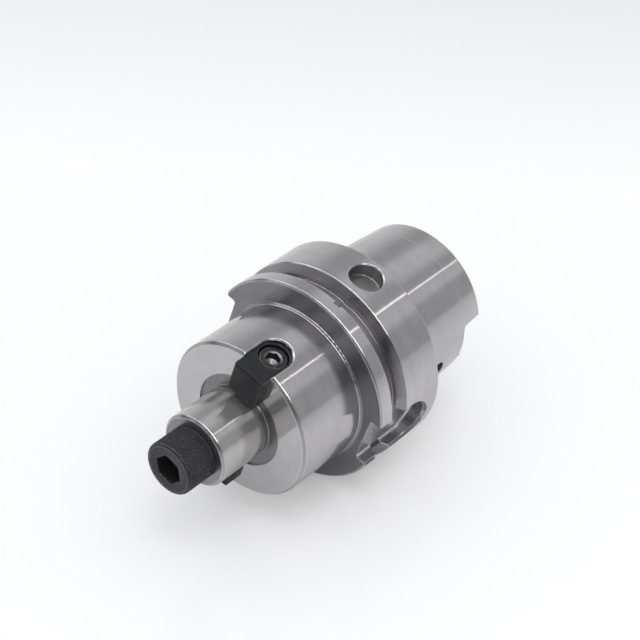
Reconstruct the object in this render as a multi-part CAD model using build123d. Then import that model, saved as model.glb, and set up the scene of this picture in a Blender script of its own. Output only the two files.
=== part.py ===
from build123d import *
import math
import os

# The arbor stands along Z with the tool side up.
# Z = 0 is the ring face that seats against the spindle nose.
# The first drive key looks along -Y and the narrow flange slot along -X.
# All sizes are in millimetres and degrees.

# Hollow taper shank, outside
shank_length = 32.0
taper_gauge_d = 48.01
taper_gauge_depth = 6.3
taper_ratio = 9.98
collar_length = 8.0
collar_step = 0.15
shank_end_chamfer = 0.8
drive_slot_width = 18.0
drive_slot_depth = 8.3
drive_slot_corner_r = 1.2
drive_slot_chamfer = 0.25
access_hole_d = 7.5
access_hole_depth = 10.5

# Clamping contour inside the shank
clamp_bore_d = 34.0
clamp_bore_chamfer = 1.0
clamp_shoulder_depth = 18.13
clamp_shoulder_angle = 30.0
chamber_d = 37.0
chamber_floor_depth = 6.0
tube_thread_d = 17.0
tube_thread_chamfer = 0.8
tube_thread_length = 10.0
tube_seat_d = 13.0
tube_seat_length = 6.0

# Flange with the gripper groove and its two slots
flange_d = 63.0
flange_length = 26.0
flange_chamfer = 0.5
face_relief_width = 2.18
face_relief_depth = 0.8
groove_center = 18.0
groove_mouth_width = 6.76
groove_angle = 60.0
groove_floor_width = 3.75
groove_depth = 4.0
groove_edge_chamfer = 0.2
wide_slot_width = 18.0
narrow_slot_width = 16.0
flange_slot_depth = 5.0
flange_slot_back = 4.4
flange_slot_chamfer = 0.9
flange_slot_floor_r = 0.8

# Pocket for a data carrier and the orientation notch of the groove
chip_pocket_d = 10.0
chip_pocket_depth = 4.6
chip_pocket_height = 7.0
chip_pocket_chamfer = 0.3
notch_width = 2.4
notch_reach = 4.4
notch_sink = 0.4
notch_turn = -3.5

# Body between the flange and the cutter seat
body_d = 48.0
seat_height = 50.0
body_chamfer = 0.8
root_fillet_r = 0.5
seat_relief_d = 28.8
seat_relief_depth = 0.5

# Pilot that centres the cutter
pilot_d = 22.0
pilot_length = 18.0
pilot_chamfer = 0.7
undercut_d = 21.4
undercut_length = 1.7
undercut_fillet_r = 0.35

# Drive keys, measured outward from the axis
key_width = 10.0
key_side_fit = 0.02
key_foot = 13.0
key_top = 22.6
key_nose = 3.7
key_screw_setback = 7.0
key_nose_chamfer = 0.6
key_edge_chamfer = 0.55
key_slot_chamfer = 0.4

# Screws that hold the keys
key_screw_d = 5.0
key_screw_length = 8.0
key_screw_head_d = 8.5
key_screw_head_height = 5.0
key_screw_head_round = 0.5
key_screw_hex = 4.0
key_screw_hex_depth = 2.5
key_screw_hex_turn = 15.0
key_screw_sink = 0.9
key_screw_hole_d = 5.5
key_screw_head_fit = 0.15

# Retaining screw in the pilot
screw_d = 10.0
screw_length = 30.0
screw_head_d = 16.0
screw_head_height = 10.0
screw_head_round = 0.9
screw_hex = 8.0
screw_hex_depth = 5.0
screw_hex_turn = -3.3

# Shared by the threaded holes and the screws
thread_fit = 0.05
thread_spare = 1.0
thread_mouth_chamfer = 0.5
screw_tip_chamfer = 0.1
drill_point_angle = 118.0

# Cutters run past the surface that they open
past = 1.0

# An edge this near a surface counts as on it
edge_reach = 0.001

shank_end = -shank_length
flange_r = flange_d / 2
groove_floor_r = flange_r - groove_depth
pilot_end = seat_height + pilot_length
key_screw_z = seat_height - key_screw_setback
key_back = key_screw_z - key_width / 2
key_seat = key_top - key_screw_sink - key_screw_head_height
key_screw_tip = key_seat - key_screw_length


def taper_radius(z):
    return (taper_gauge_d + (z + taper_gauge_depth) / taper_ratio) / 2


# Turned shape from (radius, height) points, with its seam away from every slot
def turned(points):
    section = make_face(Polyline(*points, close=True))
    return Rot(0, 0, 45) * revolve(Plane.XZ * section, Axis.Z)


# Depth of the cone that a drill leaves at the end of its hole
def drill_point(radius):
    return radius / math.tan(math.radians(drill_point_angle / 2))


# Plane that looks outward at a distance from the axis, with its Y along the arbor
def outward_plane(distance):
    return Plane(origin=(distance, 0, 0), x_dir=(0, 1, 0), z_dir=(1, 0, 0))


# Outline with a full round at the back and a straight front
def slot_outline(width, back, front):
    radius = width / 2
    straight = front - back - radius
    middle = back + radius + straight / 2
    return Pos(0, back + radius) * Circle(radius) + Pos(0, middle) * Rectangle(width, straight)


# The two slots at the end of the shank, cut in one pass
def make_drive_slots():
    slot_top = shank_end + drive_slot_depth
    height = drive_slot_depth + past
    outline = Pos(0, slot_top - height / 2) * Rectangle(drive_slot_width, height)
    corners = outline.vertices().group_by(Axis.Y)[-1]
    outline = fillet(corners, drive_slot_corner_r)
    reach = taper_radius(0)
    return extrude(outward_plane(0) * outline, reach, both=True)


# Edges that the two end slots leave on the outside of the shank
def drive_slot_rims(shank):
    rims = []
    for edge in shank.edges():
        middle = edge.position_at(0.5)
        beside_slot = abs(middle.Y) < drive_slot_width / 2 + edge_reach
        if beside_slot and math.hypot(middle.X, middle.Y) > clamp_bore_d / 2:
            rims.append(edge)
    return rims


# Shank with its taper, its end collar and the two drive slots, not yet hollow
def make_shank():
    collar_start = shank_end + collar_length
    collar_r = taper_radius(collar_start) - collar_step
    end_r = taper_radius(shank_end) - collar_step
    shank = turned([
        (0, 0),
        (taper_radius(0), 0),
        (taper_radius(collar_start), collar_start),
        (collar_r, collar_start),
        (end_r, shank_end + shank_end_chamfer),
        (end_r - shank_end_chamfer, shank_end),
        (0, shank_end),
    ])
    shank -= make_drive_slots()
    return chamfer(drive_slot_rims(shank), drive_slot_chamfer)


# Space inside the shank: bore, clamping shoulder, chamber, tube thread and tube seat
def make_clamp_space():
    bore_r = clamp_bore_d / 2
    chamber_r = chamber_d / 2
    thread_r = tube_thread_d / 2
    seat_r = tube_seat_d / 2
    mouth = clamp_bore_chamfer + past
    shoulder_start = -clamp_shoulder_depth
    shoulder_rise = (chamber_r - bore_r) / math.tan(math.radians(clamp_shoulder_angle))
    chamber_top = -chamber_floor_depth
    thread_top = chamber_top + tube_thread_length
    seat_top = thread_top + tube_seat_length
    return turned([
        (0, shank_end - past),
        (bore_r + mouth, shank_end - past),
        (bore_r, shank_end + clamp_bore_chamfer),
        (bore_r, shoulder_start),
        (chamber_r, shoulder_start + shoulder_rise),
        (chamber_r, chamber_top),
        (thread_r + tube_thread_chamfer, chamber_top),
        (thread_r, chamber_top + tube_thread_chamfer),
        (thread_r, thread_top),
        (seat_r, thread_top),
        (seat_r, seat_top),
        (0, seat_top + drill_point(seat_r)),
    ])


# Edges that a slot or pocket facing +X or -X leaves on a round surface
def rim_edges(solid, radius, reach):
    rims = []
    for edge in solid.edges():
        points = [edge.position_at(share) for share in (0, 0.5, 1)]
        on_surface = all(abs(math.hypot(p.X, p.Y) - radius) < edge_reach for p in points)
        if on_surface and all(abs(p.Y) < reach for p in points):
            rims.append(edge)
    return rims


# Flange disc with the data carrier pocket, the two open slots and their broken edges
def make_flange():
    disc = turned([
        (0, 0),
        (flange_r - flange_chamfer, 0),
        (flange_r, flange_chamfer),
        (flange_r, flange_length - flange_chamfer),
        (flange_r - flange_chamfer, flange_length),
        (0, flange_length),
    ])
    pocket_face = outward_plane(flange_r - chip_pocket_depth)
    pocket = pocket_face * Pos(0, chip_pocket_height) * Circle(chip_pocket_d / 2)
    disc -= extrude(pocket, flange_r)
    disc = chamfer(rim_edges(disc, flange_r, chip_pocket_d), chip_pocket_chamfer)
    disc = Rot(0, 0, -90) * disc
    for width, turn in ((wide_slot_width, 0), (narrow_slot_width, 180)):
        outline = slot_outline(width, flange_slot_back, flange_length + past)
        cutter = extrude(outward_plane(flange_r - flange_slot_depth) * outline, flange_r)
        cutter = fillet(cutter.faces().sort_by(Axis.X)[0].edges(), flange_slot_floor_r)
        disc -= Rot(0, 0, turn) * cutter
    return chamfer(rim_edges(disc, flange_r, wide_slot_width), flange_slot_chamfer)


# Ring that the gripper groove takes out of the flange
def make_groove():
    half_mouth = groove_mouth_width / 2
    half_floor = groove_floor_width / 2
    lean = math.tan(math.radians(groove_angle / 2))
    flank_end_r = flange_r - (half_mouth - half_floor) / lean
    half_edge = half_mouth - groove_edge_chamfer * lean
    half_open = half_mouth + groove_edge_chamfer + past
    upper = [
        (flank_end_r, half_floor),
        (flange_r - groove_edge_chamfer, half_edge),
        (flange_r + past, half_open),
    ]
    points = [(groove_floor_r, -half_floor)] + [(r, -z) for r, z in upper]
    points += [(r, z) for r, z in reversed(upper)] + [(groove_floor_r, half_floor)]
    return turned([(r, groove_center + z) for r, z in points])


# Body, seat face and pilot, with the two key slots and their broken edges
def make_nose():
    body_r = body_d / 2
    pilot_r = pilot_d / 2
    undercut_r = undercut_d / 2
    relief_z = seat_height - seat_relief_depth
    undercut_top = relief_z + undercut_length
    root = Polyline(
        (0, flange_length - past),
        (body_r + root_fillet_r, flange_length - past),
        (body_r + root_fillet_r, flange_length),
    )
    hollow = RadiusArc(root @ 1, (body_r, flange_length + root_fillet_r), -root_fillet_r)
    front = Polyline(
        hollow @ 1,
        (body_r, seat_height - body_chamfer),
        (body_r - body_chamfer, seat_height),
        (seat_relief_d / 2, seat_height),
        (seat_relief_d / 2, relief_z),
        (undercut_r, relief_z),
        (undercut_r, undercut_top),
        (pilot_r, undercut_top + pilot_r - undercut_r),
        (pilot_r, pilot_end - pilot_chamfer),
        (pilot_r - pilot_chamfer, pilot_end),
        (0, pilot_end),
        root @ 0,
    )
    section = make_face(root + hollow + front)
    corner = section.vertices().sort_by_distance((undercut_r, relief_z, 0))[0]
    section = fillet(corner, undercut_fillet_r)
    nose = Rot(0, 0, 45) * revolve(Plane.XZ * section, Axis.Z)
    width = key_width + 2 * key_side_fit
    outline = slot_outline(width, key_back - key_side_fit, seat_height + past)
    cutter = extrude(outward_plane(key_foot) * outline, body_r)
    screw_hole = make_thread_hole(key_screw_d, key_foot - key_screw_tip)
    screw_hole = outward_plane(key_foot) * Pos(0, key_screw_z) * screw_hole
    for turn in (0, 180):
        nose -= Rot(0, 0, turn) * cutter
    nose = chamfer(rim_edges(nose, body_r, width), key_slot_chamfer)
    for turn in (0, 180):
        nose -= Rot(0, 0, turn) * screw_hole
    return Rot(0, 0, -90) * nose


# Hole for a screw that reaches down to a depth, opening at Z = 0 and running down
def make_thread_hole(diameter, depth):
    radius = diameter / 2 + thread_fit
    floor = -depth - thread_spare
    mouth = radius + thread_mouth_chamfer
    return turned([
        (0, past),
        (mouth, past),
        (mouth, 0),
        (radius, -thread_mouth_chamfer),
        (radius, floor),
        (0, floor - drill_point(radius)),
    ])


# Turned and milled piece: shank, flange, body and pilot in one
def make_arbor():
    arbor = make_shank() + make_flange() + make_nose()
    arbor -= make_clamp_space()
    arbor -= make_groove()
    relief = Cylinder(taper_radius(0) + face_relief_width, 2 * face_relief_depth)
    arbor -= relief - Cylinder(taper_radius(0), 2 * face_relief_depth)
    access = Plane(origin=(0, 0, -access_hole_depth), z_dir=(1, 0, 0)) * Circle(access_hole_d / 2)
    arbor -= extrude(access, taper_radius(0) + past, both=True)
    notch_back = groove_center - groove_floor_width / 2
    notch_length = groove_floor_width / 2 + notch_reach
    notch = Pos(0, notch_back + notch_length / 2) * Rectangle(notch_width, notch_length)
    notch = extrude(outward_plane(groove_floor_r - notch_sink) * notch, flange_r)
    arbor -= Rot(0, 0, notch_turn - 90) * notch
    arbor -= Pos(0, 0, pilot_end) * make_thread_hole(screw_d, screw_length)
    return arbor


# Key with a round back, made facing +X
def make_key():
    outline = slot_outline(key_width, key_back, seat_height + key_nose)
    key = extrude(outward_plane(key_foot) * outline, key_top - key_foot)
    top_edges = key.faces().sort_by(Axis.X)[-1].edges()
    nose_edge = top_edges.sort_by(Axis.Z)[-1]
    key = chamfer(nose_edge, key_nose_chamfer)
    sides = key.faces().sort_by(Axis.Z)[-1].edges().filter_by(Axis.X)
    key = chamfer(sides, key_edge_chamfer)
    hole = Pos(0, key_screw_z) * Circle(key_screw_hole_d / 2)
    key -= extrude(outward_plane(key_foot) * hole, key_top - key_foot)
    counterbore = Pos(0, key_screw_z) * Circle(key_screw_head_d / 2 + key_screw_head_fit)
    key -= extrude(outward_plane(key_seat) * counterbore, key_top - key_seat)
    return key


# Socket head cap screw with the underside of its head at Z = 0
def make_screw(diameter, length, head_d, head_height, head_round, hex_width, hex_depth, hex_turn):
    radius = diameter / 2
    head_r = head_d / 2
    tip = screw_tip_chamfer * diameter
    shaft = turned([(0, 0), (radius, 0), (radius, tip - length), (radius - tip, -length), (0, -length)])
    head = Cylinder(head_r, head_height, align=(Align.CENTER, Align.CENTER, Align.MIN))
    head = fillet(head.faces().sort_by(Axis.Z)[-1].edges(), head_round)
    socket = Rot(0, 0, hex_turn) * RegularPolygon(hex_width / 2, 6, major_radius=False)
    head -= extrude(Pos(0, 0, head_height) * socket, -hex_depth)
    cone_r = hex_width / 2
    cone = Cone(cone_r, 0, drill_point(cone_r))
    head -= Pos(0, 0, head_height - hex_depth - drill_point(cone_r) / 2) * Rot(180, 0, 0) * cone
    return shaft + head


def make_key_screw():
    screw = make_screw(
        key_screw_d,
        key_screw_length,
        key_screw_head_d,
        key_screw_head_height,
        key_screw_head_round,
        key_screw_hex,
        key_screw_hex_depth,
        key_screw_hex_turn,
    )
    seat = Plane(origin=(key_seat, 0, key_screw_z), x_dir=(0, 0, -1), z_dir=(1, 0, 0))
    return seat * screw


def make_retaining_screw():
    screw = make_screw(
        screw_d,
        screw_length,
        screw_head_d,
        screw_head_height,
        screw_head_round,
        screw_hex,
        screw_hex_depth,
        screw_hex_turn,
    )
    return Pos(0, 0, pilot_end) * screw


os.makedirs("parts", exist_ok=True)

pieces = {
    "arbor_body": make_arbor(),
    "drive_key_front": Rot(0, 0, -90) * make_key(),
    "drive_key_back": Rot(0, 0, 90) * make_key(),
    "key_screw_front": Rot(0, 0, -90) * make_key_screw(),
    "key_screw_back": Rot(0, 0, 90) * make_key_screw(),
    "retaining_screw": make_retaining_screw(),
}

for name, piece in pieces.items():
    export_step(piece, "parts/" + name + ".step")
    print(name, round(piece.volume, 1), piece.is_valid)
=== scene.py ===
import math

import bmesh
import bpy
from mathutils import Matrix, Quaternion, Vector


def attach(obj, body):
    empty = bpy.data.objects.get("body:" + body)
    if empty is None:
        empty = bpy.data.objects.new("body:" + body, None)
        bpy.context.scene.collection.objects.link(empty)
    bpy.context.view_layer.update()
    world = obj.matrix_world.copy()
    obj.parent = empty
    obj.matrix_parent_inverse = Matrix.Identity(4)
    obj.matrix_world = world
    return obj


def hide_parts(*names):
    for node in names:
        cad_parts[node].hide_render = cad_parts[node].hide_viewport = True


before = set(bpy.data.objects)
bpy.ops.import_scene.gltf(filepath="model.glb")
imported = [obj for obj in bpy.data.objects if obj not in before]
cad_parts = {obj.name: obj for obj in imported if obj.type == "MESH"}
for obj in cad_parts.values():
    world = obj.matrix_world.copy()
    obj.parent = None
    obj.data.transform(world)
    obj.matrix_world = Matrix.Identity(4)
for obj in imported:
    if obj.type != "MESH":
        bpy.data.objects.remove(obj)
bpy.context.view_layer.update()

# Lengths in the dictionaries are millimetres, apart from the floor's size, the lamps and the
# camera's clip, which are metres. Angles are degrees. mm turns millimetres into metres.
# The arbor stands along Z. The photograph shows it lying on its flange, so the floor here
# is the plane that touches the low side of the flange.
mm = 0.001
scene = bpy.context.scene


# Node helpers

def addNode(tree, kind, values=None, **settings):
    node = tree.nodes.new(kind)
    for name, value in settings.items():
        setattr(node, name, value)
    for socket, value in (values or {}).items():
        node.inputs[socket].default_value = value
    return node


def addMath(tree, operation, first, second=None, third=None):
    node = tree.nodes.new("ShaderNodeMath")
    node.operation = operation
    for index, value in enumerate((first, second, third)):
        if isinstance(value, bpy.types.NodeSocket):
            tree.links.new(value, node.inputs[index])
        elif value is not None:
            node.inputs[index].default_value = value
    return node.outputs[0]


def addMix(tree, factor, first, second):
    node = addNode(tree, "ShaderNodeMix", data_type="RGBA")
    for socket, value in ((0, factor), (6, first), (7, second)):
        if isinstance(value, bpy.types.NodeSocket):
            tree.links.new(value, node.inputs[socket])
        elif value is not None:
            node.inputs[socket].default_value = value
    return node.outputs[2]


def addRange(tree, value, fromLow, fromHigh, toLow, toHigh):
    limits = {"From Min": fromLow, "From Max": fromHigh, "To Min": toLow, "To Max": toHigh}
    node = addNode(tree, "ShaderNodeMapRange", limits, clamp=True)
    tree.links.new(value, node.inputs["Value"])
    return node.outputs["Result"]


def newGroup(name, inputs, outputs):
    tree = bpy.data.node_groups.new(name, "ShaderNodeTree")
    for label, value in inputs.items():
        kind = "NodeSocketVector" if value is None else "NodeSocketFloat"
        socket = tree.interface.new_socket(name=label, in_out="INPUT", socket_type=kind)
        if value is not None:
            socket.default_value = value
    for label in outputs:
        kind = "NodeSocketVector" if label == "Normal" else "NodeSocketFloat"
        tree.interface.new_socket(name=label, in_out="OUTPUT", socket_type=kind)
    return tree, tree.nodes.new("NodeGroupInput"), tree.nodes.new("NodeGroupOutput")


def useGroup(tree, group, values, coordinates=None):
    node = addNode(tree, "ShaderNodeGroup", node_tree=group)
    for label, value in values.items():
        node.inputs[label].default_value = value
    if coordinates is not None:
        tree.links.new(coordinates, node.inputs["Position"])
    return node


# Shared effects

# Fine rings that grinding and turning leave round the axis, and wider soft bands among them
turnedRings = {"grain": {"Scale": 1.0, "Detail": 2.0, "Roughness": 0.6}}


def makeRingGroup(values):
    tree, into, out = newGroup(
        "turnedRings",
        {"Position": None, "Lines": 4.0, "Wander": 1.5, "Bands": 0.5},
        ("Height", "Band"),
    )
    links = tree.links
    toMm = addNode(tree, "ShaderNodeVectorMath", operation="SCALE")
    toMm.inputs["Scale"].default_value = 1 / mm
    links.new(into.outputs["Position"], toMm.inputs[0])
    parts = addNode(tree, "ShaderNodeSeparateXYZ")
    links.new(toMm.outputs[0], parts.inputs[0])
    flat = addNode(tree, "ShaderNodeCombineXYZ")
    links.new(parts.outputs["X"], flat.inputs["X"])
    links.new(parts.outputs["Y"], flat.inputs["Y"])
    reach = addNode(tree, "ShaderNodeVectorMath", operation="LENGTH")
    links.new(flat.outputs[0], reach.inputs[0])
    heading = addNode(tree, "ShaderNodeVectorMath", operation="NORMALIZE")
    links.new(flat.outputs[0], heading.inputs[0])
    turn = addNode(tree, "ShaderNodeVectorMath", operation="SCALE")
    links.new(heading.outputs[0], turn.inputs[0])
    links.new(into.outputs["Wander"], turn.inputs["Scale"])
    turned = addNode(tree, "ShaderNodeSeparateXYZ")
    links.new(turn.outputs[0], turned.inputs[0])
    for output, density in (("Height", "Lines"), ("Band", "Bands")):
        along = addMath(tree, "MULTIPLY", parts.outputs["Z"], into.outputs[density])
        across = addMath(tree, "MULTIPLY", reach.outputs["Value"], into.outputs[density])
        place = addNode(tree, "ShaderNodeCombineXYZ")
        links.new(turned.outputs["X"], place.inputs["X"])
        links.new(turned.outputs["Y"], place.inputs["Y"])
        links.new(along, place.inputs["Z"])
        noise = addNode(tree, "ShaderNodeTexNoise", values["grain"], noise_dimensions="4D")
        links.new(place.outputs[0], noise.inputs["Vector"])
        links.new(across, noise.inputs["W"])
        links.new(noise.outputs[0], out.inputs[output])
    return tree


# Corners broken and rubbed bright, partly wear and partly a painted highlight, found where a rounded
# normal leaves the true one.
# The mask runs from none to full between the two agreements of those normals.
edgeWearAndHighlight = {
    "samples": 4, "agreement": (0.992, 0.955),
    "patches": (0.35, 0.65), "grain": {"Detail": 3.0, "Roughness": 0.6},
}


def makeEdgeGroup(values):
    tree, into, out = newGroup(
        "edgeWearAndHighlight",
        {"Position": None, "Radius": 0.2 * mm, "Patch": 900.0, "Spread": 0.5},
        ("Mask", "Normal"),
    )
    links = tree.links
    rounded = addNode(tree, "ShaderNodeBevel", samples=values["samples"])
    links.new(into.outputs["Radius"], rounded.inputs["Radius"])
    geometry = addNode(tree, "ShaderNodeNewGeometry")
    same = addNode(tree, "ShaderNodeVectorMath", operation="DOT_PRODUCT")
    links.new(rounded.outputs["Normal"], same.inputs[0])
    links.new(geometry.outputs["Normal"], same.inputs[1])
    links.new(rounded.outputs["Normal"], out.inputs["Normal"])
    edge = addRange(tree, same.outputs["Value"], *values["agreement"], 0.0, 1.0)
    noise = addNode(tree, "ShaderNodeTexNoise", values["grain"])
    links.new(into.outputs["Position"], noise.inputs["Vector"])
    links.new(into.outputs["Patch"], noise.inputs["Scale"])
    patch = addRange(tree, noise.outputs[0], *values["patches"], 0.0, 1.0)
    kept = addMath(tree, "SUBTRACT", 1.0, into.outputs["Spread"])
    share = addMath(tree, "MULTIPLY_ADD", patch, kept, into.outputs["Spread"])
    links.new(addMath(tree, "MULTIPLY", edge, share), out.inputs["Mask"])
    return tree


# Oil film and handling marks, as soft uneven clouds with finer specks in them
oilFilm = {"details": {"Cloud": 4.0, "Speck": 2.0}, "roughness": 0.55, "spread": (0.3, 0.7)}


def makeFilmGroup(values):
    tree, into, out = newGroup(
        "oilFilm",
        {"Position": None, "Cloud": 60.0, "Speck": 1400.0},
        ("Cloud", "Speck"),
    )
    for output, detail in values["details"].items():
        grain = {"Detail": detail, "Roughness": values["roughness"]}
        noise = addNode(tree, "ShaderNodeTexNoise", grain)
        tree.links.new(into.outputs["Position"], noise.inputs["Vector"])
        tree.links.new(into.outputs[output], noise.inputs["Scale"])
        spread = addRange(tree, noise.outputs[0], *values["spread"], 0.0, 1.0)
        tree.links.new(spread, out.inputs[output])
    return tree


ringGroup = makeRingGroup(turnedRings)
edgeGroup = makeEdgeGroup(edgeWearAndHighlight)
filmGroup = makeFilmGroup(oilFilm)
print("shared effects made")


# Materials

# What every steel finish starts from. rings: lines and bands to a millimetre, and how far they
# wander. shares: of film and bands in the tint and the unevenness. turn: a quarter, because
# grinding and turning run round the axis and the gloss stretches across those lines.
steelBase = {
    "film": {"Cloud": 120.0, "Speck": 1500.0}, "bandRange": (0.3, 0.7), "shares": (0.6, 0.4),
    "turn": 0.25, "edgeGloss": -0.05,
    "tint": 0.82, "uneven": 0.05, "anisotropic": 0.3, "ringDepth": 0.0004, "edgeRadius": 0.24,
    "rings": {"Lines": 4.0, "Wander": 3.0, "Bands": 0.4},
    # edge: the near-white colour on the edge mask, rubbed wear with a painted highlight
    "edge": (0.96, 0.955, 0.955, 1), "metallic": 0.92, "edgeMetal": 0.85, "edgeSpread": 0.6,
}
steelFinishes = {
    "groundSteel": {
        "color": (0.605, 0.588, 0.595), "roughness": 0.14, "uneven": 0.035, "anisotropic": 0.9,
        "rings": {"Lines": 5.0, "Wander": 2.5, "Bands": 0.45}, "edgeSpread": 0.9, "edgeRadius": 0.36,
    },
    # flankSteel and grooveSteel are darker than the ground lands: painted shade inside the V groove
    "flankSteel": {
        "color": (0.36, 0.348, 0.362), "roughness": 0.25, "uneven": 0.03, "anisotropic": 0.97,
        "rings": {"Lines": 5.0, "Wander": 2.5, "Bands": 0.45}, "edgeSpread": 0.9, "edgeRadius": 0.36,
        "metallic": 1.0,
    },
    "grooveSteel": {"color": (0.30, 0.29, 0.30), "roughness": 0.2, "anisotropic": 0.6},
    "pilotSteel": {
        "color": (0.61, 0.593, 0.59), "roughness": 0.13, "uneven": 0.03, "anisotropic": 0.9,
        "rings": {"Lines": 5.0, "Wander": 2.5, "Bands": 0.45}, "metallic": 0.8,
    },
    "seatSteel": {"color": (0.61, 0.598, 0.602), "roughness": 0.10, "anisotropic": 0.3, "tint": 0.86},
    # Darker than turned steel, partly their own turned tone and partly painted shade: beside the body,
    # under the screw head and in the recess
    "flangeFaceSteel": {"color": (0.262, 0.259, 0.274), "roughness": 0.25, "anisotropic": 0.2},
    "pilotEndSteel": {"color": (0.31, 0.307, 0.317), "roughness": 0.28},
    "recessSteel": {"color": (0.268, 0.265, 0.27), "roughness": 0.28},
    "chamferSteel": {"color": (0.44, 0.43, 0.435), "roughness": 0.22, "edgeRadius": 0.3},
    # Lighter than the pocket: a painted highlight along the pocket's rim chamfer
    "brightSteel": {"color": (0.50, 0.49, 0.495), "roughness": 0.25},
    # Darker than the ground faces beside them: painted shade in the concave root fillets
    "rootSteel": {"color": (0.30, 0.295, 0.30), "roughness": 0.22, "edgeRadius": 0.04},
    # rimSteel: a painted dark line of shade along the flange slots' rim chamfers; filletSteel: a painted
    # highlight along the fillets at the slots' floors
    "rimSteel": {"color": (0.20, 0.2, 0.212), "roughness": 0.25, "edgeSpread": 0.9},
    "filletSteel": {"color": (0.85, 0.84, 0.83), "roughness": 0.3, "metallic": 0.5},
    "turnedSteel": {
        "color": (0.38, 0.37, 0.372), "roughness": 0.33, "uneven": 0.08, "anisotropic": 0.5,
        "rings": {"Lines": 7.0, "Wander": 1.2, "Bands": 0.8}, "ringDepth": 0.0015,
    },
    "milledSteel": {
        "color": (0.38, 0.375, 0.385), "roughness": 0.26, "uneven": 0.08, "anisotropic": 0.0,
        "rings": {"Lines": 2.5, "Wander": 40.0, "Bands": 1.2}, "ringDepth": 0.002, "metallic": 0.82,
    },
    # Darker than the milled faces: painted shade in the data carrier pocket
    "pocketSteel": {
        "color": (0.25, 0.247, 0.253), "roughness": 0.32, "uneven": 0.08, "anisotropic": 0.0,
        "rings": {"Lines": 2.5, "Wander": 40.0, "Bands": 1.2}, "ringDepth": 0.002,
        "metallic": 0.75, "edgeSpread": 0.2,
    },
    # Near black inside the bores and the key slots: painted shade
    "shadedSteel": {
        "color": (0.14, 0.138, 0.14), "roughness": 0.42, "uneven": 0.1, "anisotropic": 0.0,
        "rings": {"Lines": 2.5, "Wander": 40.0, "Bands": 1.2}, "ringDepth": 0.002, "edgeSpread": 0.1,
    },
}


def makeSteel(name, finish):
    material = bpy.data.materials.new(name)
    material.use_nodes = True
    tree = material.node_tree
    links = tree.links
    shader = tree.nodes["Principled BSDF"]
    shader.inputs["Anisotropic"].default_value = finish["anisotropic"]
    shader.inputs["Anisotropic Rotation"].default_value = finish["turn"]
    position = addNode(tree, "ShaderNodeTexCoord").outputs["Object"]
    rings = useGroup(tree, ringGroup, finish["rings"], position)
    film = useGroup(tree, filmGroup, finish["film"], position)
    wearAndGlint = {"Radius": finish["edgeRadius"] * mm, "Spread": finish["edgeSpread"]}
    edges = useGroup(tree, edgeGroup, wearAndGlint, position)
    mask = edges.outputs["Mask"]
    band = addRange(tree, rings.outputs["Band"], *finish["bandRange"], 0.0, 1.0)
    filmShare, bandShare = finish["shares"]
    banded = addMath(tree, "MULTIPLY", band, bandShare)
    blend = addMath(tree, "MULTIPLY_ADD", film.outputs["Cloud"], filmShare, banded)
    tint = [part * finish["tint"] for part in finish["color"]]
    surface = addMix(tree, blend, (*finish["color"], 1), (*tint, 1))
    links.new(addMix(tree, mask, surface, finish["edge"]), shader.inputs["Base Color"])
    # A broken corner is burnished and painted near-white as a highlight, and scatters a little of the
    # light too
    drop = finish["edgeMetal"] - finish["metallic"]
    metal = addMath(tree, "MULTIPLY_ADD", mask, drop, finish["metallic"])
    links.new(metal, shader.inputs["Metallic"])
    low = finish["roughness"] - finish["uneven"] / 2
    plain = addRange(tree, blend, 0.0, 1.0, low, low + finish["uneven"])
    gloss = addMath(tree, "MULTIPLY_ADD", mask, finish["edgeGloss"], plain)
    links.new(gloss, shader.inputs["Roughness"])
    bump = addNode(tree, "ShaderNodeBump", {"Strength": 1.0, "Distance": finish["ringDepth"] * mm})
    links.new(rings.outputs["Height"], bump.inputs["Height"])
    links.new(edges.outputs["Normal"], bump.inputs["Normal"])
    links.new(bump.outputs["Normal"], shader.inputs["Normal"])
    return material


# What every black finish starts from. speckFrom: where specks begin to wear through the black.
blackBase = {
    "film": {"Cloud": 220.0, "Speck": 2000.0}, "speckFrom": 0.74, "uneven": 0.12,
    "edgePatch": 1500.0, "edgeSpread": 0.15,
}
# Each edge colour lies on the edge mask: rubbed wear with a painted highlight
blackFinishes = {
    "blackOxideKey": {
        "color": (0.024, 0.0245, 0.029, 1), "tint": (0.016, 0.0165, 0.020, 1),
        "edge": (0.38, 0.38, 0.40, 1), "metallic": 0.2, "specular": 0.35, "roughness": 0.4,
        "edgeRadius": 0.14, "rubAndHighlight": 0.9, "specks": 0.06, "grainDepth": 0.004,
    },
    "blackOxideScrew": {
        "color": (0.030, 0.029, 0.031, 1), "tint": (0.017, 0.0165, 0.018, 1),
        "edge": (0.26, 0.26, 0.265, 1), "metallic": 0.3, "specular": 0.5, "roughness": 0.34,
        "edgeRadius": 0.14, "rubAndHighlight": 0.7, "specks": 0.5, "grainDepth": 0.004,
    },
    # Worn-through black for those head rows, with a painted glint at the bottom of the key screw's socket
    "blackOxideWearAndGlint": {
        "color": (0.24, 0.24, 0.245, 1), "tint": (0.08, 0.08, 0.083, 1),
        "edge": (0.5, 0.5, 0.5, 1), "metallic": 0.75, "specular": 0.5, "roughness": 0.26,
        "edgeRadius": 0.1, "rubAndHighlight": 0.9, "specks": 0.5, "grainDepth": 0.003,
    },
}


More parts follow.
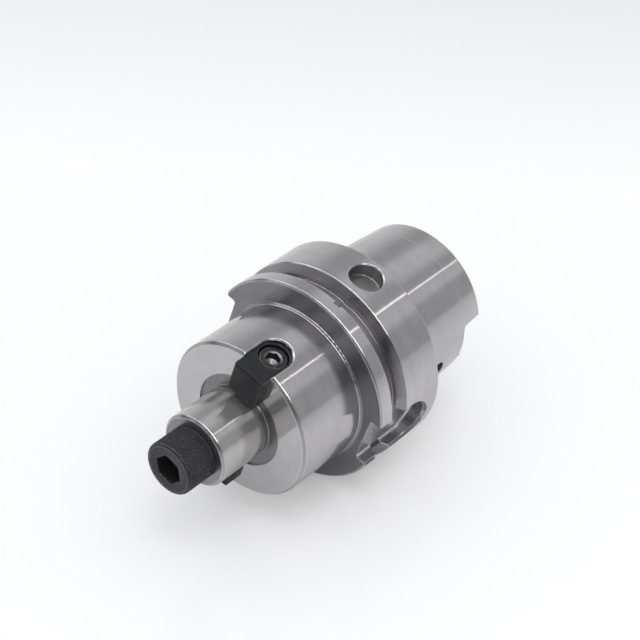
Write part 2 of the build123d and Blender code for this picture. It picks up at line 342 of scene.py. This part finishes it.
def makeBlackOxide(name, values):
    material = bpy.data.materials.new(name)
    material.use_nodes = True
    tree = material.node_tree
    links = tree.links
    shader = tree.nodes["Principled BSDF"]
    shader.inputs["Metallic"].default_value = values["metallic"]
    shader.inputs["Specular IOR Level"].default_value = values["specular"]
    position = addNode(tree, "ShaderNodeTexCoord").outputs["Object"]
    film = useGroup(tree, filmGroup, values["film"], position)
    wearAndGlint = {
        "Radius": values["edgeRadius"] * mm,
        "Patch": values["edgePatch"],
        "Spread": values["edgeSpread"],
    }
    edges = useGroup(tree, edgeGroup, wearAndGlint, position)
    surface = addMix(tree, film.outputs["Cloud"], values["color"], values["tint"])
    wornAndHighlitShare = addMath(tree, "MULTIPLY", edges.outputs["Mask"], values["rubAndHighlight"])
    specks = addRange(tree, film.outputs["Speck"], values["speckFrom"], 1.0, 0.0, values["specks"])
    wornAndHighlitShare = addMath(tree, "MAXIMUM", wornAndHighlitShare, specks)
    color = addMix(tree, wornAndHighlitShare, surface, values["edge"])
    links.new(color, shader.inputs["Base Color"])
    smooth, rough = values["roughness"], values["roughness"] + values["uneven"]
    grain = addRange(tree, film.outputs["Speck"], 0.0, 1.0, smooth, rough)
    links.new(grain, shader.inputs["Roughness"])
    bump = addNode(tree, "ShaderNodeBump", {"Strength": 1.0, "Distance": values["grainDepth"] * mm})
    links.new(film.outputs["Speck"], bump.inputs["Height"])
    links.new(edges.outputs["Normal"], bump.inputs["Normal"])
    links.new(bump.outputs["Normal"], shader.inputs["Normal"])
    return material


steels = {name: makeSteel(name, {**steelBase, **finish}) for name, finish in steelFinishes.items()}
blacks = {name: makeBlackOxide(name, {**blackBase, **finish}) for name, finish in blackFinishes.items()}
print("materials made")


# Arbor body: the imported shape, with each surface given the finish of its own operation, and some
# finishes darkened or lightened as painted shade and painted highlights

# Each row: finish, kind of face, radius from and to, height from and to. The first fit counts.
arborZones = (
    ("pilotEndSteel", "end", 5.4, 10.4, 67.9, 68.1),
    ("shadedSteel", "any", 0.0, 5.8, 30.0, 68.1),
    ("rootSteel", "turned", 10.6, 11.08, 49.4, 49.9),
    ("recessSteel", "end", 10.9, 14.5, 49.4, 49.6),
    ("recessSteel", "turned", 14.3, 14.5, 49.4, 50.1),
    ("seatSteel", "end", 14.3, 23.5, 49.9, 50.1),
    ("pilotSteel", "turned", 10.9, 11.1, 51.0, 67.4),
    ("chamferSteel", "turned", 10.2, 11.1, 67.2, 68.1),
    ("chamferSteel", "turned", 23.1, 24.1, 49.1, 50.1),
    ("groundSteel", "turned", 23.9, 24.1, 26.4, 49.3),
    ("rootSteel", "turned", 23.9, 24.6, 25.9, 26.6),
    ("flangeFaceSteel", "end", 24.4, 31.1, 25.9, 26.1),
    ("chamferSteel", "turned", 30.9, 31.6, 25.4, 26.1),
    ("groundSteel", "turned", 31.4, 31.6, 0.4, 25.6),
    ("flankSteel", "turned", 28.7, 31.6, 14.3, 16.3),
    ("grooveSteel", "turned", 28.7, 31.35, 19.7, 21.5),
    ("groundSteel", "turned", 28.8, 31.6, 14.0, 22.0),
    ("seatSteel", "end", 24.0, 31.1, -0.1, 0.1),
    ("groundSteel", "turned", 19.8, 24.4, -31.3, 0.1),
    ("chamferSteel", "turned", 18.9, 24.4, -32.1, -31.1),
    ("shadedSteel", "milled", 2.0, 23.8, 37.0, 50.1),
    ("chamferSteel", "rim", 23.2, 24.1, 37.0, 50.1),
    # The data carrier pocket, darkened as painted shade
    ("pocketSteel", "pocket", 26.0, 31.6, 1.0, 13.0),
    # The pocket's rim chamfer, lightened as a painted highlight
    ("brightSteel", "rim", 31.0, 31.6, 1.0, 12.6),
    # Painted shade on the slot rims, and a painted highlight on the fillets at their floors
    ("rimSteel", "rim", 30.3, 31.6, 3.0, 26.1),
    ("filletSteel", "rim", 26.3, 28.6, 3.0, 26.1),
    ("turnedSteel", "turned", 0.0, 32.0, -33.0, 79.0),
    ("turnedSteel", "end", 0.0, 32.0, -33.0, 79.0),
    ("milledSteel", "any", 0.0, 32.0, -33.0, 79.0),
)
# spare: play of a face in its row. flat: how straight an end face looks along the axis. turned: how
# little a turned face may look aside. rim: share of outward in a chamfer or fillet of a slot.
# pocket: half width of the data carrier pocket, and the limit that it lies in front of.
arborFinish = {
    "spare": 0.03, "flat": 0.999, "turned": 0.08, "rim": (0.35, 0.92), "pocket": (6.0, -25.0),
}


def faceKind(face, sizes):
    if abs(face.normal.z) > sizes["flat"]:
        return "end"
    middle = face.calc_center_median()
    outward = Vector((middle.x, middle.y, 0)).normalized()
    if outward.length and abs(face.normal.cross(outward).z) < sizes["turned"]:
        return "turned"
    halfWidth, front = sizes["pocket"]
    low, high = sizes["rim"]
    if low < face.normal.dot(outward) < high:
        return "rim"
    atPocket = abs(middle.x) < halfWidth * mm and middle.y < front * mm
    return "pocket" if atPocket else "milled"


def arborZone(face, sizes):
    kind = faceKind(face, sizes)
    radii = [math.hypot(v.co.x, v.co.y) / mm for v in face.verts]
    heights = [v.co.z / mm for v in face.verts]
    for finish, wanted, near, far, low, high in arborZones:
        inside = near - sizes["spare"] < min(radii) and max(radii) < far + sizes["spare"]
        level = low - sizes["spare"] < min(heights) and max(heights) < high + sizes["spare"]
        if wanted in (kind, "any") and inside and level:
            return finish
    return "milledSteel"


def makeArbor(sizes):
    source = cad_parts["arbor_body"]
    arbor = bpy.data.objects.new("arborBody", source.data.copy())
    scene.collection.objects.link(arbor)
    arbor.data.materials.clear()
    names = list(steels)
    for name in names:
        arbor.data.materials.append(steels[name])
    mesh = bmesh.new()
    mesh.from_mesh(arbor.data)
    for face in mesh.faces:
        face.material_index = names.index(arborZone(face, sizes))
    mesh.to_mesh(arbor.data)
    mesh.free()
    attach(arbor, "arbor")
    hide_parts("arbor_body")


makeArbor(arborFinish)
print("arbor body made")


# Socket head cap screws, with the knurl, the socket and the thread cut as real shape

# seat: how far from the axis, and how high, the underside of the head sits.
# Rows of the head, counted from its foot, whose black is worn through; on the key screw, row 15, the drill
# point at the bottom of the socket, is a painted glint.
retainingScrew = {
    "seat": (0.0, 68.0), "headRadius": 8.0, "headHeight": 10.0, "topRound": 0.9, "footChamfer": 0.35,
    "ridges": 72, "ridgeDepth": 0.24,
    "socket": 8.0, "socketDepth": 5.0, "socketTurn": -3.3, "socketMouth": 4.7, "socketCap": 4.58,
    "mouthSlope": 0.12,
    "threadRadius": 5.0, "pitch": 1.5, "length": 30.0, "tipChamfer": 1.0, "neck": 0.9,
    "wearAndGlintRows": (9,), "sharpFrom": 24,
}
keyScrew = {
    "seat": (16.7, 43.0), "headRadius": 4.25, "headHeight": 5.0, "topRound": 0.5, "footChamfer": 0.2,
    "ridges": 60, "ridgeDepth": 0.12,
    "socket": 4.0, "socketDepth": 2.5, "socketTurn": 15.0, "socketMouth": 2.5, "socketCap": 2.25,
    "mouthSlope": 0.6,
    "threadRadius": 2.5, "pitch": 0.8, "length": 8.0, "tipChamfer": 0.5, "neck": 0.6,
    "wearAndGlintRows": (9, 11, 12, 15, 16), "sharpFrom": 24,
}

# Both sizes share these. footIn, footUp and knurlUp are shares of the foot chamfer, knurlFade is
# the steps of the round in which the knurl runs out, the rims are narrow flats, and floorRing is
# a share of the socket's floor.
headShape = {
    "pointsPerRidge": 4, "footIn": 0.2, "footUp": 0.8, "knurlUp": 1.4, "arcSteps": 6, "knurlFade": 3,
    "topRim": 0.14, "mouthRim": 0.12, "mouthDrop": 0.03, "floorRim": 0.03, "floorRing": 0.35,
}
# rows: for one turn, how far along the pitch and how deep, both in pitches. The neck's rim, its
# height and the flare under the head are a length and two shares of the neck.
threadShape = {
    "depth": 0.65, "runout": 0.9, "spareTurns": 3, "headPoints": 6,
    "rows": ((0.0625, 0.0), (0.375, 0.6134), (0.5, 0.65), (0.625, 0.6134), (0.9375, 0.0)),
    "neckRim": 0.06, "neckRimUp": 0.35, "flare": 0.4,
}
turnRows = len(threadShape["rows"])
coneSlope = math.tan(math.radians(31))  # of the point that a drill leaves in a socket


# Distance from the axis to the wall of a hexagon socket, with its corners a little full
def socketReach(angle, values):
    sixth = math.radians(60)
    offset = (angle - math.radians(values["socketTurn"])) % sixth - sixth / 2
    return min(values["socket"] / 2 / math.cos(offset), values["socketCap"])


# Rows of the head from its foot to its top, each with its radius, height and share of the knurl
def headRows(values):
    radius, top = values["headRadius"], values["headHeight"]
    foot, soft = values["footChamfer"], values["topRound"]
    mouth = values["socketMouth"]
    rows = [(radius - foot, 0, 0)]
    rows.append((radius - foot * headShape["footIn"], foot * headShape["footUp"], 0))
    rows.append((radius, foot * headShape["knurlUp"], 1))
    rows.append((radius, top - soft, 1))
    for step in range(1, headShape["arcSteps"] + 1):
        angle = math.radians(90 / headShape["arcSteps"] * step)
        reach = radius - soft + soft * math.cos(angle)
        knurl = max(0, 1 - step / headShape["knurlFade"])
        rows.append((reach, top - soft + soft * math.sin(angle), knurl))
    rows.append((radius - soft - headShape["topRim"], top, 0))
    rows.append((mouth + headShape["mouthRim"], top, 0))
    rows.append((mouth, top - headShape["mouthDrop"], 0))
    return rows


def headRings(values, count):
    rings = []
    for reach, height, share in headRows(values):
        ring = []
        for index in range(count):
            dip = 0.5 - 0.5 * math.cos(2 * math.pi * index / headShape["pointsPerRidge"])
            ring.append((reach - dip * share * values["ridgeDepth"], height))
        rings.append(ring)
    walls = [socketReach(2 * math.pi * index / count, values) for index in range(count)]
    mouth, slope = values["socketMouth"], values["mouthSlope"]
    rim = values["headHeight"] - headShape["mouthDrop"]
    floor = values["headHeight"] - values["socketDepth"]
    rings.append([(reach, rim - (mouth - reach) * slope) for reach in walls])
    rings.append([(reach, floor) for reach in walls])
    inner = values["socket"] / 2 - headShape["floorRim"]
    ringShare = headShape["floorRing"]
    rings.append([(inner, floor)] * count)
    rings.append([(inner * ringShare, floor - inner * (1 - ringShare) * coneSlope)] * count)
    return rings, floor - inner * coneSlope


def threadRows(values, count, spot):
    radius, pitch = values["threadRadius"], values["pitch"]
    tip, top = -values["length"], -values["neck"]
    thin = radius - threadShape["depth"] * pitch
    end = min(radius - values["tipChamfer"], thin)
    turns = int(values["length"] / pitch) + threadShape["spareTurns"]

    def placed(row, step):
        share, drop = threadShape["rows"][row % turnRows]
        height = min(max(tip + pitch * (row // turnRows - 1 + share + step / count), tip), top)
        limit = min(end + (height - tip), thin + (top - height) * threadShape["runout"])
        return spot(min(radius - drop * pitch, limit), step, height)

    rows = [[placed(row, step) for step in range(count)] for row in range(turnRows * turns)]
    low = [spot(end, step, tip) for step in range(count)]
    high = [spot(thin, step, top) for step in range(count)]
    return rows, (low, high)


def makeScrew(name, values, place, body, replaced):
    mesh = bmesh.new()
    corners = {}

    def spotAt(reach, angle, height):
        point = (round(reach * math.cos(angle), 5), round(reach * math.sin(angle), 5), round(height, 5))
        if point not in corners:
            corners[point] = mesh.verts.new(Vector(point) * mm)
        return corners[point]

    def join(*points, wearAndGlint=False):
        kept = list(dict.fromkeys(points))
        if len(kept) > 2:
            mesh.faces.new(kept).material_index = int(wearAndGlint)

    # The head, from its foot over the knurl and down to the point of the socket
    count = values["ridges"] * headShape["pointsPerRidge"]
    rings, apexHeight = headRings(values, count)
    rings = [
        [spotAt(reach, 2 * math.pi * index / count, height) for index, (reach, height) in enumerate(ring)]
        for ring in rings
    ]
    for row, (lower, upper) in enumerate(zip(rings, rings[1:])):
        for index in range(count):
            after = (index + 1) % count
            join(lower[index], lower[after], upper[after], upper[index], wearAndGlint=row in values["wearAndGlintRows"])
    apex = spotAt(0, 0, apexHeight)
    for index in range(count):
        join(rings[-1][index], rings[-1][(index + 1) % count], apex)

    # The thread, with fewer points round it, and the end of the shaft
    headPoints = threadShape["headPoints"]
    few = count // headPoints

    def threadSpot(reach, step, height):
        return spotAt(reach, 2 * math.pi * step / few, height)

    rows, ends = threadRows(values, few, threadSpot)
    for index in range(len(rows) - 1):
        lower, upper = rows[index], rows[index + 1]
        for step in range(few - 1):
            join(lower[step], lower[step + 1], upper[step + 1], upper[step])
        # The last point of a row meets the first point one turn on
        if index + turnRows + 1 < len(rows):
            join(lower[-1], rows[index + turnRows][0], rows[index + turnRows + 1][0], upper[-1])
    join(*ends[0])

    # The neck, and the underside of the head round it
    neck = values["neck"]
    thin = values["threadRadius"] - threadShape["depth"] * values["pitch"]
    neckRows = (
        (thin + threadShape["neckRim"], -neck * threadShape["neckRimUp"]),
        (thin + neck * threadShape["flare"], 0),
    )
    flare = [ends[1]]
    for reach, height in neckRows:
        flare.append([spotAt(reach, 2 * math.pi * step / few, height) for step in range(few)])
    for lower, upper in zip(flare, flare[1:]):
        for step in range(few):
            after = (step + 1) % few
            join(lower[step], lower[after], upper[after], upper[step])
    for step in range(few):
        rim = [rings[0][(step * headPoints + index) % count] for index in range(headPoints + 1)]
        join(flare[-1][(step + 1) % few], flare[-1][step], *rim)
    finishes = (blacks["blackOxideScrew"], blacks["blackOxideWearAndGlint"])
    sharp = values["sharpFrom"]
    finishPiece(name, mesh, place, finishes, body, replaced, sharp)


# One home for what every made piece needs: its place, shading, finish, body and the node it stands for
def finishPiece(name, mesh, place, finishes, body, replaced, sharp):
    bmesh.ops.recalc_face_normals(mesh, faces=mesh.faces)
    bmesh.ops.transform(mesh, matrix=place, verts=mesh.verts)
    for face in mesh.faces:
        face.smooth = True
    data = bpy.data.meshes.new(name)
    mesh.to_mesh(data)
    mesh.free()
    data.set_sharp_from_angle(angle=math.radians(sharp))
    for material in finishes:
        data.materials.append(material)
    piece = bpy.data.objects.new(name, data)
    scene.collection.objects.link(piece)
    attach(piece, body)
    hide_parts(replaced)


def screwSeat(values):
    reach, height = values["seat"]
    return Matrix.Translation(Vector((reach, 0, height)) * mm)


makeScrew("retainingScrew", retainingScrew, screwSeat(retainingScrew), "screw", "retaining_screw")

# A key and its screw are made on the +X side, and each pair turned round to its own side
keySides = {"front": -90, "back": 90}
outwards = Matrix(((0, 0, 1), (0, 1, 0), (-1, 0, 0))).to_4x4()
for side, turn in keySides.items():
    place = Matrix.Rotation(math.radians(turn), 4, "Z") @ screwSeat(keyScrew) @ outwards
    makeScrew("keyScrew" + side.capitalize(), keyScrew, place, "arbor", "key_screw_" + side)
print("screws made")


# Drive keys: a block with a full round at the back, broken edges and a stepped screw hole

driveKey = {
    "width": 10.0, "foot": 13.0, "top": 22.6, "back": 38.0, "nose": 53.7,
    "noseChamfer": 0.6, "edgeChamfer": 0.55, "edgeRound": 0.12, "roundSteps": 36,
    "holeRadius": 2.75, "boreRadius": 4.4, "boreFloor": 16.7, "boreChamfer": 0.22, "boreSteps": 96,
    "past": 1.0, "near": 0.01, "longEdge": 1.0, "foldFrom": 25, "sharpFrom": 20,
}


# Cutter for the screw's hole, its counterbore and the chamfer, which runs past both faces
def keyHole(values):
    mesh = bmesh.new()
    bore, top, past = values["boreRadius"], values["top"], values["past"]
    wide = values["boreChamfer"] + past
    rows = (
        (values["holeRadius"], values["foot"] - past), (values["holeRadius"], values["boreFloor"]),
        (bore, values["boreFloor"]), (bore, top - values["boreChamfer"]), (bore + wide, top + past),
    )
    middleHeight = values["back"] + values["width"] / 2
    rings = []
    for reach, distance in rows:
        ring = []
        for step in range(values["boreSteps"]):
            angle = 2 * math.pi * step / values["boreSteps"]
            point = (distance, reach * math.cos(angle), middleHeight + reach * math.sin(angle))
            ring.append(mesh.verts.new(Vector(point) * mm))
        rings.append(ring)
    for lower, upper in zip(rings, rings[1:]):
        for step, corner in enumerate(lower):
            after = (step + 1) % len(lower)
            mesh.faces.new((corner, lower[after], upper[after], upper[step]))
    mesh.faces.new(rings[0])
    mesh.faces.new(rings[-1])
    bmesh.ops.recalc_face_normals(mesh, faces=mesh.faces)
    data = bpy.data.meshes.new("keyHole")
    mesh.to_mesh(data)
    mesh.free()
    return bpy.data.objects.new("keyHole", data)


def keyBlock(values):
    mesh = bmesh.new()
    half = values["width"] / 2
    outline = []
    for step in range(values["roundSteps"] + 1):
        angle = math.pi * (1 + step / values["roundSteps"])
        outline.append((half * math.cos(angle), values["back"] + half + half * math.sin(angle)))
    outline += [(half, values["nose"]), (-half, values["nose"])]
    low = [mesh.verts.new(Vector((values["foot"], y, z)) * mm) for y, z in outline]
    high = [mesh.verts.new(Vector((values["top"], y, z)) * mm) for y, z in outline]
    for index in range(len(outline)):
        after = (index + 1) % len(outline)
        mesh.faces.new((low[index], low[after], high[after], high[index]))
    mesh.faces.new(low)
    mesh.faces.new(high)
    bmesh.ops.recalc_face_normals(mesh, faces=mesh.faces)
    # The two chamfers at the nose come first, and then every edge but those at the foot is broken
    for stage, steps in (("noseChamfer", 1), ("edgeChamfer", 1), ("edgeRound", 2)):
        edges = []
        for edge in mesh.edges:
            ends = [vert.co / mm for vert in edge.verts]
            atNose = all(abs(end.z - values["nose"]) < values["near"] for end in ends)
            outer = all(abs(end.x - values["top"]) < values["near"] for end in ends)
            inner = all(abs(end.x - values["foot"]) < values["near"] for end in ends)
            radial = abs(ends[0].x - ends[1].x) > values["longEdge"]
            chosen = {
                "noseChamfer": atNose and outer,
                "edgeChamfer": atNose and radial,
                "edgeRound": edge.calc_face_angle(0) > math.radians(values["foldFrom"]) and not inner,
            }
            if chosen[stage]:
                edges.append(edge)
        bmesh.ops.bevel(
            mesh, geom=edges, offset=values[stage] * mm, segments=steps, profile=0.5, affect="EDGES"
        )
    data = bpy.data.meshes.new("keyBlock")
    mesh.to_mesh(data)
    mesh.free()
    return bpy.data.objects.new("keyBlock", data)


def makeKey(side, turn, values):
    block, hole = keyBlock(values), keyHole(values)
    for piece in (block, hole):
        scene.collection.objects.link(piece)
    cut = block.modifiers.new("screwHole", "BOOLEAN")
    cut.object = hole
    cut.solver = "EXACT"
    bpy.context.view_layer.update()
    evaluated = block.evaluated_get(bpy.context.evaluated_depsgraph_get())
    shape = bpy.data.meshes.new_from_object(evaluated)
    mesh = bmesh.new()
    mesh.from_mesh(shape)
    for piece in (block, hole):
        bpy.data.objects.remove(piece)
    place = Matrix.Rotation(math.radians(turn), 4, "Z")
    name, replaced = "driveKey" + side.capitalize(), "drive_key_" + side
    finishes = (blacks["blackOxideKey"],)
    sharp = values["sharpFrom"]
    finishPiece(name, mesh, place, finishes, "arbor", replaced, sharp)


for side, turn in keySides.items():
    makeKey(side, turn, driveKey)
print("drive keys made")


# Floor, light and camera, laid out round the lying arbor

lying = {"upTurn": -70.95, "restRadius": 31.5, "middleHeight": 14.0}
upward = Vector((math.cos(math.radians(lying["upTurn"])), math.sin(math.radians(lying["upTurn"])), 0))
along = Vector((0, 0, 1))
sideways = upward.cross(along)
middle = along * lying["middleHeight"] * mm


def makeFloor(values):
    half = values["size"] / 2
    base = middle - upward * (lying["restRadius"] + values["gap"]) * mm
    mesh = bmesh.new()
    corners = []
    for end, side in ((-1, -1), (1, -1), (1, 1), (-1, 1)):
        corners.append(mesh.verts.new(base + along * end * half + sideways * side * half))
    face = mesh.faces.new(corners)
    face.normal_update()
    if face.normal.dot(upward) < 0:
        face.normal_flip()
    data = bpy.data.meshes.new("floor")
    mesh.to_mesh(data)
    mesh.free()
    floor = bpy.data.objects.new("floor", data)
    scene.collection.objects.link(floor)
    material = bpy.data.materials.new("palePaper")
    material.use_nodes = True
    tree = material.node_tree
    links = tree.links
    shader = tree.nodes["Principled BSDF"]
    shader.inputs["Base Color"].default_value = values["color"]
    shader.inputs["Roughness"].default_value = values["roughness"]
    shader.inputs["Specular IOR Level"].default_value = values["specular"]
    # The camera and mirrors see the sheet a little lighter than it lights the arbor
    path = addNode(tree, "ShaderNodeLightPath")
    mirrored = addMath(tree, "MULTIPLY", path.outputs["Is Glossy Ray"], values["mirrorShare"])
    seen = addMath(tree, "MAXIMUM", path.outputs["Is Camera Ray"], mirrored)
    seen = addMath(tree, "MAXIMUM", seen, path.outputs["Is Transmission Ray"])
    nearness = addNode(tree, "ShaderNodeVectorMath", operation="DOT_PRODUCT")
    nearness.inputs[1].default_value = values["nearSide"]
    links.new(addNode(tree, "ShaderNodeTexCoord").outputs["Object"], nearness.inputs[0])
    far, close = values["fade"]
    lift = addRange(tree, nearness.outputs["Value"], far * mm, close * mm, *values["lift"])
    links.new(addMath(tree, "MULTIPLY", seen, lift), shader.inputs["Emission Strength"])
    shader.inputs["Emission Color"].default_value = (1, 1, 1, 1)
    # Seen from behind, the sheet is clear, so the arbor can be looked at from that side too
    clear = addNode(tree, "ShaderNodeBsdfTransparent")
    sides = addNode(tree, "ShaderNodeMixShader")
    links.new(addNode(tree, "ShaderNodeNewGeometry").outputs["Backfacing"], sides.inputs[0])
    links.new(shader.outputs[0], sides.inputs[1])
    links.new(clear.outputs[0], sides.inputs[2])
    links.new(sides.outputs[0], tree.nodes["Material Output"].inputs["Surface"])
    data.materials.append(material)


# nearSide, fade and lift: the way towards the camera's side of the arbor, where the lift of the
# sheet's brightness changes on that way, and the lift at both ends
floorValues = {
    "size": 6.0, "gap": 0.02, "color": (0.91, 0.91, 0.913, 1), "roughness": 0.16, "specular": 0.5,
    "nearSide": (-0.30, -0.35, 0.62), "fade": (-230.0, -110.0), "lift": (0.09, 0.23),
    "mirrorShare": 0.2,
}
makeFloor(floorValues)

lamps = {
    "softboxAbove": {
        "along": 0.3, "up": 1.5, "side": 0.5, "length": 0.7, "width": 0.7, "watts": 3.0,
        "mirrored": False,
    },
    "longTube": {
        "along": 0.0, "up": 0.77, "side": 0.53, "length": 4.4, "width": 0.018, "watts": 0.66,
        "mirrored": True,
    },
}


def makeLamp(name, values):
    data = bpy.data.lights.new(name, "AREA")
    data.shape = "RECTANGLE"
    data.size = values["length"]
    data.size_y = values["width"]
    data.energy = values["watts"]
    lamp = bpy.data.objects.new(name, data)
    scene.collection.objects.link(lamp)
    lamp.visible_glossy = values["mirrored"]
    lamp.location = middle + along * values["along"] + upward * values["up"] + sideways * values["side"]
    back = (lamp.location - middle).normalized()
    lengthwise = (along - back * along.dot(back)).normalized()
    across = back.cross(lengthwise)
    turn = Matrix((lengthwise, across, back)).transposed().to_4x4()
    lamp.matrix_world = Matrix.Translation(lamp.location) @ turn


for name, values in lamps.items():
    makeLamp(name, values)


# The room is a grey wall round the arbor's axis with a few soft panels in it, and darker
# towards the tool end. Mirrors see it, the camera sees white, and plain light is even.
def makeRoom(values):
    world = bpy.data.worlds.new("paleRoom")
    scene.world = world
    world.use_nodes = True
    tree = world.node_tree
    links = tree.links
    background = tree.nodes["Background"]
    direction = addNode(tree, "ShaderNodeTexCoord").outputs["Generated"]

    def facing(vector, axis):
        node = addNode(tree, "ShaderNodeVectorMath", operation="DOT_PRODUCT")
        node.inputs[1].default_value = axis
        links.new(vector, node.inputs[0])
        return node.outputs["Value"]

    across = addNode(tree, "ShaderNodeVectorMath", operation="MULTIPLY")
    across.inputs[1].default_value = (1, 1, 0)
    links.new(direction, across.inputs[0])
    around = addNode(tree, "ShaderNodeVectorMath", operation="NORMALIZE")
    links.new(across.outputs[0], around.inputs[0])

    def makeGlow(wall, panels):
        glow = wall
        for turn, full, faded, strength in panels:
            angle = math.radians(turn)
            axis = upward * math.cos(angle) - sideways * math.sin(angle)
            limits = (math.cos(math.radians(faded)), math.cos(math.radians(full)))
            share = addRange(tree, facing(around.outputs[0], axis), *limits, 0.0, strength)
            glow = addMath(tree, "ADD", share, glow)
        return glow

    side = makeGlow(values["wall"], values["panels"])
    height = facing(direction, along)
    front = makeGlow(values["frontWall"], values["frontPanels"])
    pole = addRange(tree, height, *values["darkFrom"], 1.0, values["dark"])
    front = addMath(tree, "MULTIPLY", front, pole)
    for panels, start, stop in values["strips"]:
        strip = makeGlow(0.0, panels)
        strip = addMath(tree, "MULTIPLY", strip, addRange(tree, height, *start, 0.0, 1.0))
        strip = addMath(tree, "MULTIPLY", strip, addRange(tree, height, *stop, 1.0, 0.0))
        front = addMath(tree, "ADD", front, strip)
    share = addRange(tree, height, *values["frontFrom"], 0.0, 1.0)
    difference = addMath(tree, "SUBTRACT", front, side)
    glow = addMath(tree, "MULTIPLY_ADD", share, difference, side)
    path = addNode(tree, "ShaderNodeLightPath")
    mirrored = addMath(tree, "MAXIMUM", path.outputs["Is Glossy Ray"], path.outputs["Is Transmission Ray"])
    shown = addMath(tree, "SUBTRACT", glow, values["ambient"])
    unseen = addMath(tree, "MULTIPLY_ADD", mirrored, shown, values["ambient"])
    seen = addMath(tree, "SUBTRACT", values["white"], unseen)
    strength = addMath(tree, "MULTIPLY_ADD", path.outputs["Is Camera Ray"], seen, unseen)
    links.new(strength, background.inputs["Strength"])
    background.inputs["Color"].default_value = values["color"]


# Each panel: turn from straight up, half width at full strength, half width where it ends, strength.
# Each strip: its panels, then where it starts and stops along the arbor.
roomValues = {
    "wall": 0.43, "ambient": 0.78, "white": 0.95, "color": (0.975, 0.985, 1.0, 1),
    "panels": ((-46, 5, 13, 0.2), (4, 10, 24, 0.24), (95, 12, 50, 0.32)),
    "frontWall": 0.16, "frontFrom": (-0.50, -0.38),
    "frontPanels": ((45, 6, 14, 0.42), (100, 14, 26, 0.7)),
    "dark": 0.2, "darkFrom": (0.82, 0.95),
    "strips": (
        (((4, 56, 64, 1.0),), (-0.32, -0.20), (0.30, 0.42)),
        (((4, 56, 64, 2.2), (-24, 28, 38, 1.8)), (0.06, 0.14), (0.32, 0.42)),
        (((-20, 34, 44, 0.55), (-21, 4, 9, -0.45)), (0.44, 0.54), (0.74, 0.82)),
    ),
}
makeRoom(roomValues)

cameraValues = {
    "aim": (9.107, -3.922, 6.108),
    "azimuth": -23.3, "elevation": 38.879, "roll": 124.552,
    "distance": 559.3, "lens": 108.574, "sensor": 36.0, "clip": (0.05, 20.0),
}


def makeCamera(values):
    data = bpy.data.cameras.new("camera")
    data.lens = values["lens"]
    data.sensor_width = values["sensor"]
    data.clip_start, data.clip_end = values["clip"]
    camera = bpy.data.objects.new("camera", data)
    scene.collection.objects.link(camera)
    azimuth = math.radians(values["azimuth"])
    elevation = math.radians(values["elevation"])
    flat = math.cos(elevation)
    back = Vector((math.sin(azimuth) * flat, -math.cos(azimuth) * flat, math.sin(elevation)))
    camera.location = Vector(values["aim"]) * mm + back * values["distance"] * mm
    camera.rotation_mode = "QUATERNION"
    roll = Quaternion((0, 0, 1), -math.radians(values["roll"]))
    camera.rotation_quaternion = (-back).to_track_quat("-Z", "Y") @ roll
    scene.camera = camera


makeCamera(cameraValues)
scene.view_settings.view_transform = "Standard"
print("floor, light and camera set")
